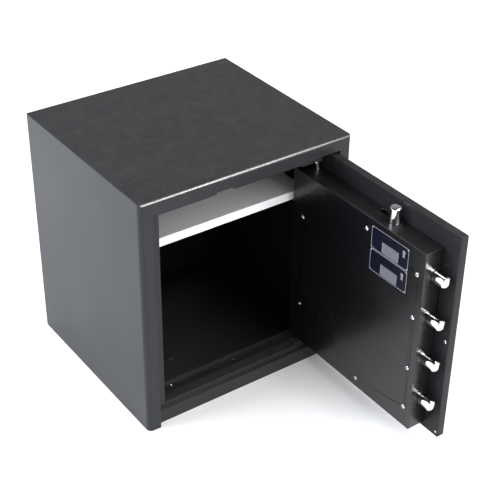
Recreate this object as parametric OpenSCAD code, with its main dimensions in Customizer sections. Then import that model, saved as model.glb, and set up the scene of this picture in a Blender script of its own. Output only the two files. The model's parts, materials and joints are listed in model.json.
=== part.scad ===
// Free-standing furniture safe with a thick swing door, bolt work, key lock and one shelf.
// Millimetres, +Z up, door side faces -Y. The origin is the middle of the body's footprint,
// on the floor. The door is drawn open; its own shapes are written as if it were shut and
// are then swung about the hinge line by in_door().

/* [Body] */
// Width of the body over its side walls
body_w = 460; // [380:1:560]
// Depth of the body from the front posts to the rear panel
body_d = 417; // [340:1:520]
// Height of the body
body_h = 500; // [410:1:620]
// Sheet thickness of the outer casing
skin_t = 3; // [2:0.5:4]
// Radius of the casing's front edges
edge_r = 10; // [6:0.5:14]
// Radius of the casing's long top edges
side_r = 2.5; // [1:0.5:3]
// Width of each front post
post_w = 27; // [24:1:34]
// Height of the lintel's face
lintel_h = 26; // [20:1:34]
// Depth of the folded return behind the posts and the lintel
return_d = 9; // [6:0.5:10]
// Height of the bar below the door
bar_h = 29; // [22:1:40]
// How far the bar stands back from the front
bar_setback = 11; // [8:1:16]

/* [Walls] */
// Side wall from the outer face to the inner face of the liner
wall_t = 46; // [40:1:60]
// Roof from the outer face to the inner face of the liner
roof_t = 43; // [38:1:60]
// Floor from the ground to the inner face of the liner
floor_t = 34; // [32:1:60]
// Rear wall from the outer face to the inner face of the liner
rear_t = 24; // [18:1:50]
// Sheet thickness of the liner
liner_t = 1.5; // [1:0.5:3]
// Sheet thickness of the door frame
frame_t = 3; // [2:0.5:4]
// Width of the frame's strip beside the opening
strip_w = 21; // [16:1:24]
// Height of the frame's strip under the lintel
strip_h = 17; // [12:1:22]
// Height of the sill over the bar
sill_h = 10.5; // [8:0.5:14]
// Depth of the sill's top
sill_d = 18.5; // [14:0.5:24]

/* [Shelf] */
// Height of the shelf's top over the ground
shelf_z = 366; // [200:1:380]
// Height of the shelf's front flange
shelf_flange = 17.5; // [12:0.5:30]
// Side gap between the shelf and the liner
shelf_gap = 1; // [0.5:0.5:3]
// Width of the rails that carry the shelf
rail_w = 12; // [8:1:20]

/* [Door] */
// Thickness of the door plate
plate_t = 16; // [13:0.5:20]
// Gap between the door plate and the posts
door_gap = 1.5; // [1:0.5:3]
// Gap between the door plate and the bar
low_gap = 3; // [2:0.5:5]
// Gap between the door plate and the lintel
high_gap = 4; // [2:0.5:6]
// How far the plate's face stands back from the front
door_recess = 2; // [1:0.5:4]
// Gap between the shut plate and the frame's strips
shut_gap = 1; // [0.8:0.1:2]
// Bevel on the plate's hinge side, along the face
bevel_w = 8; // [7:0.5:10]
// Bevel on the plate's hinge side, along the edge
bevel_d = 8.5; // [7:0.5:10]
// Swing of the open door
open_angle = 90; // [0:1:90]

/* [Hinge] */
// Gap between the plate's inner face and the hinge knuckles
knuckle_gap = 1; // [0.5:0.1:1.5]
// Gap between the open door's face and the post
open_gap = 3; // [2:0.5:5]
// Wall of the knuckles round the bushes
knuckle_wall = 3; // [2:0.5:4]
// Radius of the hinge pins
hinge_r = 5; // [4:0.5:5.5]
// Wall of the hinge bushes
bush_wall = 2.45; // [1.5:0.05:2.5]

/* [Bolt cover] */
// Depth of the cover over the bolt work
cover_d = 42; // [40:0.5:46]
// Cover's free side from the plate's free edge
cover_setback = 35.8; // [33:0.1:40]
// Cover's lower edge from the plate's lower edge
cover_low = 14.5; // [13:0.5:24]
// Cover's upper edge from the plate's upper edge
cover_high = 37; // [34:0.5:50]
// Sheet thickness of the cover
cover_t = 1.5; // [1:0.5:2]

/* [Bolt work] */
// Radius of the round bolts
bolt_r = 11; // [9:0.5:11]
// Number of side bolts
bolt_count = 4; // [4:1:4]
// Lowest side bolt from the cover's lower edge
bolt_low = 62.7; // [50:0.1:75]
// Highest side bolt from the cover's upper edge
bolt_high = 52; // [45:0.1:65]
// Bolt axes behind the plate's inner face
bolt_offset = 15.6; // [15:0.1:16]
// How far the thrown bolts stand out of the cover
bolt_out = 27.8; // [26:0.1:29]
// Travel of the bolts
travel = 20; // [16:0.5:20]
// Handle's axis from the cover's free side
handle_inset = 95.4; // [94:0.1:110]
// Turn of the handle
handle_turn = 80; // [70:1:90]

/* [Hidden] */
$fn = 64;

// Colours
paint = [0.13, 0.13, 0.14];
inside_paint = [0.09, 0.09, 0.10];
steel = [0.62, 0.63, 0.65];
chrome = [0.85, 0.86, 0.88];
brass = [0.72, 0.58, 0.30];
shelf_paint = [0.80, 0.81, 0.82];
fill_grey = [0.60, 0.59, 0.56];
navy = [0.10, 0.12, 0.28];

// Clearances
run = 0.05;       // radial gap of a running fit
slack = 0.5;      // radial gap where a shaft only passes a sheet
over = 1;         // how far a cut runs past the face that it opens
seam = 0.2;       // gap between the slabs of filling
swing_gap = 1.9;  // gap between the swinging door and the frame behind it

// Body faces
half_w = body_w / 2;
front_y = -body_d / 2;
rear_y = body_d / 2;
inner_x = half_w - skin_t;
open_x = half_w - post_w;
open_top = body_h - lintel_h;
lip_y = front_y + return_d;
bar_y = front_y + bar_setback;

// Door plate, shut
plate_x0 = -open_x + door_gap;
plate_x1 = open_x - door_gap;
plate_y0 = front_y + door_recess;
plate_y1 = plate_y0 + plate_t;
plate_z0 = bar_h + low_gap;
plate_z1 = open_top - high_gap;
sheet_t = 3;
pocket_x1 = plate_x1 - bevel_w - sheet_t;
pocket_y1 = plate_y1 - sheet_t;

// Hinge line: clear of the plate's inner face, and far enough in for the open door to pass the post
bush_r = hinge_r + run + bush_wall;
knuckle_r = bush_r + knuckle_wall;
hinge_depth = plate_t + knuckle_gap + knuckle_r;
hinge_inset = hinge_depth + open_gap - door_gap;
hinge_x = plate_x1 - hinge_inset;
hinge_y = plate_y0 + hinge_depth;

// Pocket behind the hinge-side post, which the plate's hinge edge swings through
plate_swing = max(norm([hinge_inset - bevel_w, hinge_depth]), norm([hinge_inset, hinge_depth - bevel_d]));
pocket_gap = 3.8;
web_x = hinge_x + plate_swing + pocket_gap;

// Bolt cover, shut
cover_x0 = plate_x0 + cover_setback;
cover_x1 = plate_x1;
cover_y1 = plate_y1 + cover_d;
cover_z0 = plate_z0 + cover_low;
cover_z1 = plate_z1 - cover_high;
cover_in_y = cover_y1 - cover_t;
swing_r = sqrt(pow(cover_x1 - hinge_x, 2) + pow(cover_y1 - hinge_y, 2));

// Door frame
strip_y = plate_y1 + shut_gap;
flange_t = 2;
liner_y0 = hinge_y + swing_r + swing_gap + flange_t;
strip_x = -open_x + strip_w;
strip_z = open_top - strip_h;
sill_z = bar_h + sill_h;
strip_end = hinge_x - 44.5;
notch_x = -61;
notch_w = 37;
notch_h = 4;

// Liner
liner_x = half_w - wall_t;
ceiling_z = body_h - roof_t;
liner_y1 = rear_y - rear_t;

// Anchor holes
anchor_r = 6.5;
anchor_x = 100;
anchor_y = -72;
anchor_z = 250;

// Bolt work
bolt_y = plate_y1 + bolt_offset;
bolt_tip = cover_x0 - bolt_out;
bolt_end = cover_x0 + 45.7;
bolt_pitch = (cover_z1 - cover_z0 - bolt_low - bolt_high) / (bolt_count - 1);
guide_x0 = cover_x0 + 7.7;
guide_x1 = cover_x0 + 27.7;
carrier_t = 6;
carrier_x1 = bolt_end + carrier_t;
mid_z = (cover_z0 + cover_z1) / 2 - 2.75;
handle_x = cover_x0 + handle_inset;
crank_r = travel / (2 * sin(handle_turn / 2));
pin_r = 3;
slot_w = 7;
disc_t = 5;
disc_y = plate_y1 + 1;
disc_r = crank_r + pin_r + 2.5;
arm_y = disc_y + disc_t + 2.5;
link_t = 4;
rod_y = arm_y + link_t + 2;
spindle_r = 7;
spindle_y0 = plate_y0 - 19.5;
top_x = handle_x + crank_r;
top_tip = cover_z1 + 30.3;
top_end = cover_z1 - 38;
pin_a = [handle_x - crank_r * sin(handle_turn / 2), mid_z + crank_r * cos(handle_turn / 2)];
pin_b = [handle_x + crank_r * cos(handle_turn / 2), mid_z + crank_r * sin(handle_turn / 2)];
pin_rise = crank_r * (1 - cos(handle_turn / 2));

// Lock
lock_x0 = handle_x - 15.7;
lock_x1 = handle_x + 48.3;
lock_z0 = mid_z - 122;
lock_z1 = mid_z - 42;
hard_t = 3;
lock_y0 = plate_y1 + hard_t;
lock_d = 20;
lock_y1 = lock_y0 + lock_d;
lock_wall = 2.5;
lock_lid = 2;
boss_r = 4;
boss_in = 4.5;
key_x = handle_x + 16.3;
key_z = mid_z - 87;
key_r = 3.5;
bit_h = 9;
keyway_r = 11;
lock_bolt_x0 = handle_x + 1.3;
lock_bolt_w = 10;
lock_bolt_y0 = lock_y0 + 4.5;
lock_bolt_d = 8;
lock_bolt_top = mid_z - 38.5;

// Cover screws: pairs above and below the middle of the bolt work
cover_half = (cover_z1 - cover_z0) / 2;
free_screw_x = guide_x0 + 9.7;
mid_screw_x = cover_x0 + 153;
hinge_screw_x = cover_x1 - 31.5;
free_screws = [[free_screw_x, 56], [free_screw_x, cover_half - 46.75]];
post_screws = [[mid_screw_x, cover_half - 23.25], [hinge_screw_x, 101]];
screw_r = 2.5;
screw_len = 11;
head_r = 4.6;
head_h = 2.6;
standoff_r = 6;

// Labels
label_x0 = cover_x0 + 40.4;
label_w = 98.3;
label_h = 46;
label_gap = 0.6;
label_top = cover_z1 - 11;
label_t = 0.8;

// Handle and key outside
rose_r = 24;
rose_t = 4;
hub_r = 13;
bar_r = 9;
bar_half = 50;
bar_axis_y = plate_y0 - 31.5;
bow_r = 12;
bow_y = plate_y0 - 37.5;

// A block between two corners
module block(x, y, z) {
    translate([x[0], y[0], z[0]])
        cube([x[1] - x[0], y[1] - y[0], z[1] - z[0]]);
}

// Round bars along each axis, given the two other coordinates of the axis
module bar_x(x, y, z, r) {
    translate([x[0], y, z]) rotate([0, 90, 0]) cylinder(h = x[1] - x[0], r = r);
}

module bar_y(x, y, z, r) {
    translate([x, y[0], z]) rotate([-90, 0, 0]) cylinder(h = y[1] - y[0], r = r);
}

module bar_z(x, y, z, r) {
    translate([x, y, z[0]]) cylinder(h = z[1] - z[0], r = r);
}

// A domed head on a face that looks towards +Z
module dome(r, h) {
    ball = (r * r + h * h) / (2 * h);
    rotate_extrude() intersection() {
        translate([0, h - ball]) circle(r = ball, $fn = 256);
        square([r, h]);
    }
}

// A domed head on a face that looks towards +Y
module dome_y(x, y, z, r, h) {
    translate([x, y, z]) rotate([-90, 0, 0]) dome(r, h);
}

// Swings the shut door's shapes to the drawn pose
module in_door() {
    translate([hinge_x, hinge_y, 0]) rotate([0, 0, open_angle])
        translate([-hinge_x, -hinge_y, 0]) children();
}

// Solid whose front edges and top edges are rounded: a sheet box drawn at an inset
module soft_block(inset, front_r, top_r) {
    w = body_w - 2 * inset;
    h = body_h - inset;
    y0 = front_y + inset;
    difference() {
        block([-w / 2, w / 2], [y0, rear_y], [0, h]);
        for (side = [-1, 1]) mirror([side < 0 ? 1 : 0, 0, 0])
            translate([w / 2 - front_r, y0 + front_r, -over]) difference() {
                translate([0, -front_r - over, 0])
                    cube([front_r + over, front_r + over, h + 2 * over]);
                cylinder(h = h + 2 * over, r = front_r);
            }
        translate([-w / 2 - over, y0 + front_r, h - front_r]) rotate([0, 90, 0]) difference() {
            translate([-front_r - over, -front_r - over, 0])
                cube([front_r + over, front_r + over, w + 2 * over]);
            cylinder(h = w + 2 * over, r = front_r);
        }
        if (top_r > 0) for (side = [-1, 1]) mirror([side < 0 ? 1 : 0, 0, 0])
            translate([w / 2 - top_r, y0 - over, h - top_r]) rotate([-90, 0, 0]) difference() {
                translate([0, -top_r - over, 0])
                    cube([top_r + over, top_r + over, body_d + 2 * over]);
                cylinder(h = body_d + 2 * over, r = top_r);
            }
    }
}

// Holes for the two floor anchors and the two wall anchors
module anchor_holes() {
    for (side = [-1, 1]) {
        bar_z(side * anchor_x, anchor_y, [-over, floor_t + over], anchor_r);
        bar_y(side * anchor_x, [liner_y1 - over, rear_y + over], anchor_z, anchor_r);
    }
}

// ---- Body ----

module outer_casing() {
    color(paint) {
        difference() {
            soft_block(0, edge_r, side_r);
            soft_block(skin_t, edge_r - skin_t, 0);
            block([-inner_x, inner_x], [rear_y - skin_t, rear_y + over], [-over, body_h - skin_t]);
            block([-inner_x, inner_x], [front_y + edge_r, rear_y], [-over, skin_t]);
            block([-open_x, open_x], [front_y - over, front_y + edge_r], [-over, open_top]);
        }
        for (side = [-1, 1]) mirror([side < 0 ? 1 : 0, 0, 0])
            block([open_x, open_x + skin_t], [front_y + skin_t, lip_y], [0, open_top + skin_t]);
        block([-open_x, open_x], [front_y + skin_t, lip_y], [open_top, open_top + skin_t]);
    }
}

module rear_panel() {
    color(paint) difference() {
        block([-inner_x, inner_x], [rear_y - skin_t, rear_y], [0, body_h - skin_t]);
        anchor_holes();
    }
}

module base_panel() {
    color(paint) difference() {
        block([-inner_x, inner_x], [bar_y + skin_t, rear_y - skin_t], [0, skin_t]);
        anchor_holes();
    }
}

module bottom_bar() {
    color(paint)
        block([-open_x, open_x], [bar_y, bar_y + skin_t], [0, bar_h - frame_t]);
}

module inner_liner() {
    color(inside_paint) difference() {
        block([-liner_x - liner_t, liner_x + liner_t], [liner_y0, liner_y1 + liner_t],
            [floor_t - liner_t, ceiling_z + liner_t]);
        block([-liner_x, liner_x], [liner_y0 - over, liner_y1], [floor_t, ceiling_z]);
        anchor_holes();
    }
}

// Filling cast as five slabs round the liner, with a pocket for the door frame
module wall_fill() {
    y = [lip_y + 10, liner_y1 + liner_t];
    z = [floor_t - liner_t, ceiling_z + liner_t];
    color(fill_grey) difference() {
        union() {
            block([-inner_x, inner_x], [y[1] + seam, rear_y - skin_t], [skin_t, body_h - skin_t]);
            block([-inner_x, inner_x], y, [skin_t, z[0]]);
            block([-inner_x, inner_x], y, [z[1], body_h - skin_t]);
            for (side = [-1, 1]) mirror([side < 0 ? 1 : 0, 0, 0])
                block([liner_x + liner_t, inner_x], y, [z[0] + seam, z[1] - seam]);
        }
        block([-open_x - frame_t, web_x + frame_t], [front_y, liner_y0],
            [bar_h - frame_t, open_top + frame_t]);
        anchor_holes();
    }
}

// Frame on the free side: its strip faces the front and the bolts lock behind it
module left_jamb() {
    color(paint) {
        block([-open_x - frame_t, -open_x], [lip_y, liner_y0], [bar_h, open_top]);
        block([-open_x, strip_x], [strip_y, strip_y + frame_t], [sill_z, strip_z]);
        block([-open_x, -liner_x], [liner_y0 - flange_t, liner_y0], [floor_t, ceiling_z]);
    }
}

// Frame on the hinge side, set back to leave a pocket for the door's hinge edge
module right_jamb() {
    color(paint) {
        block([open_x, web_x], [lip_y, lip_y + flange_t], [bar_h, open_top]);
        block([web_x, web_x + frame_t], [lip_y, liner_y0], [bar_h, open_top]);
        block([liner_x, web_x], [liner_y0 - flange_t, liner_y0], [floor_t, ceiling_z]);
    }
}

// Frame under the lintel, notched beside the top bolt
module top_jamb() {
    color(paint) difference() {
        union() {
            block([-open_x - frame_t, web_x + frame_t], [lip_y, liner_y0],
                [open_top, open_top + frame_t]);
            block([-open_x, strip_end], [strip_y, strip_y + frame_t], [strip_z, open_top]);
            block([-open_x, web_x], [liner_y0 - flange_t, liner_y0], [ceiling_z, open_top]);
        }
        block([notch_x, notch_x + notch_w], [strip_y - over, strip_y + frame_t + over],
            [strip_z - over, strip_z + notch_h]);
    }
}

// Frame over the bottom bar
module sill() {
    color(paint) {
        block([-open_x - frame_t, web_x + frame_t], [bar_y, liner_y0], [bar_h - frame_t, bar_h]);
        block([-open_x, strip_end], [strip_y, strip_y + frame_t], [bar_h, sill_z]);
        block([-open_x, strip_end], [strip_y + frame_t, strip_y + frame_t + sill_d],
            [sill_z - 2.5, sill_z]);
        block([-open_x, strip_end], [strip_y + sill_d + 0.5, strip_y + frame_t + sill_d],
            [bar_h, sill_z - 2.5]);
        block([-open_x, web_x], [liner_y0 - flange_t, liner_y0], [bar_h, floor_t]);
    }
}

module sill_screws() {
    color(chrome) for (x = [-139, 9, 157])
        translate([x, liner_y0 - 10, bar_h]) dome(3.5, 2);
}

module jamb_rivets() {
    color(steel) for (z = [157, 209, 265.5, 353, 444.6])
        translate([strip_x - 5.7, strip_y, z]) rotate([90, 0, 0]) dome(1.8, 0.7);
}

// A hinge bracket is a block with a round knuckle that holds the bush
module hinge_bracket(z, bush_z) {
    color(paint) difference() {
        union() {
            block([hinge_x - 42.5, hinge_x], [hinge_y - 7.5, hinge_y + knuckle_r], z);
            bar_z(hinge_x, hinge_y, z, knuckle_r);
        }
        bar_z(hinge_x, hinge_y, bush_z, bush_r);
    }
}

module hinge_bracket_top() {
    hinge_bracket([open_top - 22, open_top], [open_top - 22 - over, open_top - 6]);
}

module hinge_bracket_bottom() {
    hinge_bracket([bar_h, bar_h + 12], [bar_h + 2, bar_h + 12 + over]);
}

module hinge_bush(z) {
    color(brass) difference() {
        bar_z(hinge_x, hinge_y, z, bush_r);
        bar_z(hinge_x, hinge_y, [z[0] - over, z[1] + over], hinge_r + run);
    }
}

module hinge_bush_top() {
    hinge_bush([open_top - 22, open_top - 6]);
}

module hinge_bush_bottom() {
    hinge_bush([bar_h + 2, bar_h + 12]);
}

module shelf() {
    x = [-liner_x + shelf_gap, liner_x - shelf_gap];
    front = liner_y0 + 1;
    back = liner_y1 - 6.5;
    color(shelf_paint) {
        block(x, [front, back], [shelf_z - liner_t, shelf_z]);
        block(x, [front, front + liner_t], [shelf_z - shelf_flange, shelf_z - liner_t]);
        block(x, [back - liner_t, back], [shelf_z - shelf_flange, shelf_z - liner_t]);
    }
}

module shelf_rail() {
    top = shelf_z - liner_t;
    y = [liner_y0 + 15, liner_y1 - 14.5];
    color(inside_paint) {
        block([-liner_x, -liner_x + rail_w], y, [top - 2, top]);
        block([-liner_x, -liner_x + 2], y, [top - 19.5, top - 2]);
    }
}

module shelf_rail_left() {
    shelf_rail();
}

module shelf_rail_right() {
    mirror([1, 0, 0]) shelf_rail();
}

// ---- Door ----

// Through holes for the spindle's bush and the key
module plate_holes(y) {
    bar_y(handle_x, y, mid_z, spindle_r + 3);
    bar_y(key_x, y, key_z, keyway_r);
}

module door_skin() {
    color(paint) in_door() difference() {
        translate([0, 0, plate_z0]) linear_extrude(plate_z1 - plate_z0) polygon([
            [plate_x0, plate_y0], [plate_x1 - bevel_w, plate_y0],
            [plate_x1, plate_y0 + bevel_d], [plate_x1, pocket_y1], [plate_x0, pocket_y1]]);
        block([plate_x0 + sheet_t, pocket_x1], [plate_y0 + sheet_t, pocket_y1 + over],
            [plate_z0 + sheet_t, plate_z1 - sheet_t]);
        plate_holes([plate_y0 - over, plate_y1]);
    }
}

module door_fill() {
    color(fill_grey) in_door() difference() {
        block([plate_x0 + sheet_t, pocket_x1], [plate_y0 + sheet_t, pocket_y1],
            [plate_z0 + sheet_t, plate_z1 - sheet_t]);
        plate_holes([plate_y0, plate_y1]);
    }
}

module door_inner_plate() {
    color(paint) in_door() difference() {
        block([plate_x0, plate_x1], [pocket_y1, plate_y1], [plate_z0, plate_z1]);
        plate_holes([plate_y0, plate_y1 + over]);
    }
}

module plate_studs() {
    y = [plate_y1, plate_y1 + 0.8];
    color(chrome) in_door() {
        bar_y(plate_x0 + 3.5, y, plate_z1 - 10.2, 2.4);
        bar_y(plate_x0 + 9.8, y, mid_z + 11, 4);
        bar_y(plate_x0 + 5.5, y, plate_z0 + 10, 2.4);
    }
}

// Open tray over the bolt work, with holes for the bolts, the hinge pins and its screws
module bolt_cover() {
    slot_y = plate_y1 + 7.5;
    slot_r = 6;
    z = [cover_z1 - 2 * cover_t, cover_z1 + over];
    color(paint) in_door() difference() {
        block([cover_x0, cover_x1], [plate_y1, cover_y1], [cover_z0, cover_z1]);
        block([cover_x0 + cover_t, cover_x1 - cover_t], [plate_y1 - over, cover_in_y],
            [cover_z0 + cover_t, cover_z1 - cover_t]);
        for (i = [0:bolt_count - 1])
            bar_x([cover_x0 - over, cover_x0 + 2 * cover_t], bolt_y, bolt_z(i), bolt_r + slack);
        bar_z(top_x, bolt_y, z, bolt_r + slack);
        bar_z(top_x + 39, slot_y, z, slot_r);
        bar_z(top_x + 19, slot_y, z, slot_r);
        block([top_x + 19, top_x + 39], [slot_y - slot_r, slot_y + slot_r], z);
        bar_z(hinge_x, hinge_y, z, hinge_r + slack);
        bar_z(hinge_x, hinge_y, [cover_z0 - over, cover_z0 + 2 * cover_t], hinge_r + slack);
        at_screws(concat(free_screws, post_screws))
            bar_y(0, [cover_in_y - over, cover_y1 + over], 0, screw_r + 0.3);
    }
}

// Height of a side bolt
function bolt_z(i) = cover_z0 + bolt_low + i * bolt_pitch;

// Places a child at each of a list of screws, above and below the middle of the bolt work
module at_screws(spots) {
    for (spot = spots, side = [-1, 1])
        translate([spot[0], 0, mid_z + side * spot[1]]) children();
}

module cover_screws() {
    color(chrome) in_door() at_screws(concat(free_screws, post_screws)) {
        dome_y(0, cover_y1, 0, head_r, head_h);
        bar_y(0, [cover_in_y - screw_len, cover_y1], 0, screw_r);
    }
}

module screw_bore() {
    bar_y(0, [cover_in_y - screw_len, cover_in_y + over], 0, screw_r);
}

module cover_standoffs() {
    color(steel) in_door() at_screws(post_screws) difference() {
        bar_y(0, [plate_y1, cover_in_y], 0, standoff_r);
        screw_bore();
    }
}

// Upright bar that guides the side bolts and takes the cover's screws on the free side
module bolt_guide() {
    color(steel) in_door() difference() {
        block([guide_x0, guide_x1], [plate_y1, cover_in_y], [cover_z0 + 10, cover_z1 - 10]);
        for (i = [0:bolt_count - 1])
            bar_x([guide_x0 - over, guide_x1 + over], bolt_y, bolt_z(i), bolt_r + run);
        at_screws(free_screws) screw_bore();
    }
}

module top_guide() {
    z = [cover_z1 - 29, cover_z1 - 13];
    color(steel) in_door() difference() {
        block([top_x - 20, top_x + 20], [plate_y1, bolt_y + 15], z);
        bar_z(top_x, bolt_y, [z[0] - over, z[1] + over], bolt_r + run);
    }
}

// Block inside the cover that holds a hinge pin
module hinge_block(z) {
    color(steel) in_door() difference() {
        block([hinge_x - 17, hinge_x + 17], [plate_y1, hinge_y + 13], z);
        bar_z(hinge_x, hinge_y, [z[0] - over, z[1] + over], hinge_r);
    }
}

module hinge_block_top() {
    hinge_block([cover_z1 - 30, cover_z1 - cover_t]);
}

module hinge_block_bottom() {
    hinge_block([cover_z0 + cover_t, cover_z0 + 30]);
}

module hinge_pin_top() {
    color(chrome) in_door() bar_z(hinge_x, hinge_y, [cover_z1 - 30, open_top - 8], hinge_r);
}

// The lower pin has a collar that carries the door's weight on the bush
module hinge_pin_bottom() {
    color(chrome) in_door() {
        bar_z(hinge_x, hinge_y, [bar_h + 4, cover_z0 + 30], hinge_r);
        bar_z(hinge_x, hinge_y, [bar_h + 12.1, cover_z0], hinge_r + 3);
    }
}

// ---- Lock ----

module hard_plate() {
    color(steel) in_door() difference() {
        block([lock_x0 - 6, lock_x1 + 6], [plate_y1, lock_y0], [lock_z0 - 5, lock_z1 + 5]);
        plate_holes([plate_y1 - over, lock_y0 + over]);
    }
}

// Places a child at the four corner bosses of the lock
module at_bosses() {
    for (x = [lock_x0 + boss_in, lock_x1 - boss_in], z = [lock_z0 + boss_in, lock_z1 - boss_in])
        translate([x, 0, z]) children();
}

module lock_case() {
    color(steel) in_door() difference() {
        union() {
            difference() {
                block([lock_x0, lock_x1], [lock_y0, lock_y1], [lock_z0, lock_z1]);
                block([lock_x0 + lock_wall, lock_x1 - lock_wall],
                    [lock_y0 + lock_wall, lock_y1 + over],
                    [lock_z0 + lock_wall, lock_z1 - lock_wall]);
            }
            at_bosses() bar_y(0, [lock_y0 + 1, lock_y1], 0, boss_r);
        }
        at_bosses() bar_y(0, [lock_y1 - 8, lock_y1 + over], 0, 1.5);
        bar_y(key_x, [lock_y0 - over, lock_y0 + lock_wall + over], key_z, keyway_r);
        block([lock_bolt_x0 - slack, lock_bolt_x0 + lock_bolt_w + slack],
            [lock_bolt_y0 - slack, lock_bolt_y0 + lock_bolt_d + slack],
            [lock_z1 - lock_wall - over, lock_z1 + over]);
    }
}

module lock_cover() {
    color(steel) in_door() difference() {
        block([lock_x0, lock_x1], [lock_y1, lock_y1 + lock_lid], [lock_z0, lock_z1]);
        at_bosses() bar_y(0, [lock_y1 - over, lock_y1 + lock_lid + over], 0, 1.5);
    }
}

module lock_screws() {
    color(chrome) in_door() at_bosses() {
        bar_y(0, [lock_y1 - 8, lock_y1 + lock_lid], 0, 1.5);
        dome_y(0, lock_y1 + lock_lid, 0, 3, 1.8);
    }
}

// Pack of levers on one post
module lock_levers() {
    x = [lock_x0 + 11, lock_x1 - 10];
    z = [lock_z0 + 7, lock_z0 + 21];
    color(brass) in_door() {
        for (i = [0:4]) {
            y = lock_y0 + 4 + 2.4 * i;
            block(x, [y, y + 1.2], z);
        }
        bar_y(x[0] + 6, [lock_y0 + lock_wall, lock_y1 - 1], (z[0] + z[1]) / 2, 2.5);
    }
}

module lock_bolt() {
    x1 = lock_bolt_x0 + lock_bolt_w;
    y = [lock_bolt_y0, lock_bolt_y0 + lock_bolt_d];
    body_z = [key_z + 11.5, key_z + 20];
    color(steel) in_door() {
        block([lock_bolt_x0, x1], y, [body_z[1], lock_bolt_top]);
        block([lock_x0 + 10, lock_x1 - 10], y, body_z);
    }
}

// Double-bitted key with a flat bow
module key() {
    color(chrome) in_door() difference() {
        union() {
            bar_y(key_x, [bow_y + 6, lock_y1 - 2.5], key_z, key_r);
            block([key_x - 1.5, key_x + 1.5], [lock_y0 + 3.5, lock_y0 + 14.5],
                [key_z - bit_h, key_z + bit_h]);
            bar_x([key_x - 1.5, key_x + 1.5], bow_y, key_z, bow_r);
        }
        bar_x([key_x - 3, key_x + 3], bow_y - 5, key_z, 1.8);
    }
}

module key_escutcheon() {
    y = [plate_y0 - 3, plate_y0];
    color(chrome) in_door() difference() {
        bar_y(key_x, y, key_z, 16);
        bar_y(key_x, [y[0] - over, y[1] + over], key_z, key_r + slack);
        block([key_x - 2, key_x + 2], [y[0] - over, y[1] + over],
            [key_z - bit_h - 1, key_z + bit_h + 1]);
    }
}

// ---- Bolt work ----

module side_bolt(i) {
    color(chrome) in_door() difference() {
        bar_x([bolt_tip, bolt_end], bolt_y, bolt_z(i), bolt_r);
        bar_x([bolt_end - 12, bolt_end + over], bolt_y, bolt_z(i), 3);
    }
}

// Bar that joins the side bolts, with the arm for the crank pin and the finger that the
// lock bolt stops
module bolt_carrier() {
    flat = [arm_y, arm_y + link_t];
    tab = [lock_bolt_x0 - 7, lock_bolt_x0 - 1];
    color(steel) in_door() difference() {
        union() {
            block([bolt_end, carrier_x1], [bolt_y - bolt_r, bolt_y + bolt_r],
                [bolt_z(0) - 17, bolt_z(bolt_count - 1) + 17]);
            block([carrier_x1, pin_a[0] + 8.5], flat, [mid_z + 3, mid_z + 25]);
            block([carrier_x1, carrier_x1 + 10], flat, [mid_z - 24, mid_z + 3]);
            block([carrier_x1 + 10, tab[1]], flat, [mid_z - 24, mid_z - 16]);
            block(tab, flat, [mid_z - 37, mid_z - 24]);
        }
        block([pin_a[0] - slot_w / 2, pin_a[0] + slot_w / 2], [arm_y - over, arm_y + link_t + over],
            [pin_a[1] - pin_r - 1.4, pin_a[1] + pin_rise + pin_r + 1.4]);
        for (i = [0:bolt_count - 1])
            bar_x([bolt_end - over, carrier_x1 + over], bolt_y, bolt_z(i), 3);
    }
}

module carrier_screws() {
    color(steel) in_door() for (i = [0:bolt_count - 1]) {
        bar_x([bolt_end - 12, carrier_x1], bolt_y, bolt_z(i), 3);
        bar_x([carrier_x1, carrier_x1 + 4], bolt_y, bolt_z(i), 5);
    }
}

module top_bolt() {
    color(chrome) in_door() bar_z(top_x, bolt_y, [top_end, top_tip], bolt_r);
}

// Flat rod from the top bolt down to the second crank pin
module top_rod() {
    flat = [rod_y, rod_y + link_t];
    color(steel) in_door() difference() {
        union() {
            block([top_x - 6, top_x + 6], flat, [pin_b[1] + 9, top_end]);
            block([pin_b[0] - 8.6, top_x + 8.6], flat, [pin_b[1] - 8, pin_b[1] + 9]);
        }
        block([pin_b[0] - pin_r - 1, top_x + pin_r + 1], [rod_y - over, rod_y + link_t + over],
            [pin_b[1] - slot_w / 2, pin_b[1] + slot_w / 2]);
    }
}

module spindle_bush() {
    color(brass) in_door() difference() {
        bar_y(handle_x, [plate_y0, plate_y1], mid_z, spindle_r + 3);
        bar_y(handle_x, [plate_y0 - over, plate_y1 + over], mid_z, spindle_r + run);
    }
}

module spindle() {
    color(steel) in_door() bar_y(handle_x, [spindle_y0, disc_y + disc_t], mid_z, spindle_r);
}

module drive_disc() {
    color(steel) in_door() difference() {
        bar_y(handle_x, [disc_y, disc_y + disc_t], mid_z, disc_r);
        bar_y(handle_x, [disc_y - over, disc_y + disc_t + over], mid_z, spindle_r);
    }
}

module drive_pins() {
    color(steel) in_door() {
        bar_y(pin_a[0], [disc_y + disc_t, arm_y + link_t + 1], pin_a[1], pin_r);
        bar_y(pin_b[0], [disc_y + disc_t, rod_y + link_t + 1], pin_b[1], pin_r);
    }
}

// ---- Handle ----

module handle_rose() {
    color(chrome) in_door() difference() {
        bar_y(handle_x, [plate_y0 - rose_t, plate_y0], mid_z, rose_r);
        bar_y(handle_x, [plate_y0 - rose_t - over, plate_y0 + over], mid_z, spindle_r + slack);
    }
}

// Turned grip, thicker in the middle
module grip() {
    translate([handle_x, bar_axis_y, mid_z]) rotate_extrude()
        polygon([[0, -bar_half], [5, -bar_half], [7, -bar_half + 2], [7.5, -bar_half + 8],
            [bar_r, -16], [bar_r, 16], [7.5, bar_half - 8], [7, bar_half - 2],
            [5, bar_half], [0, bar_half]]);
}

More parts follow.
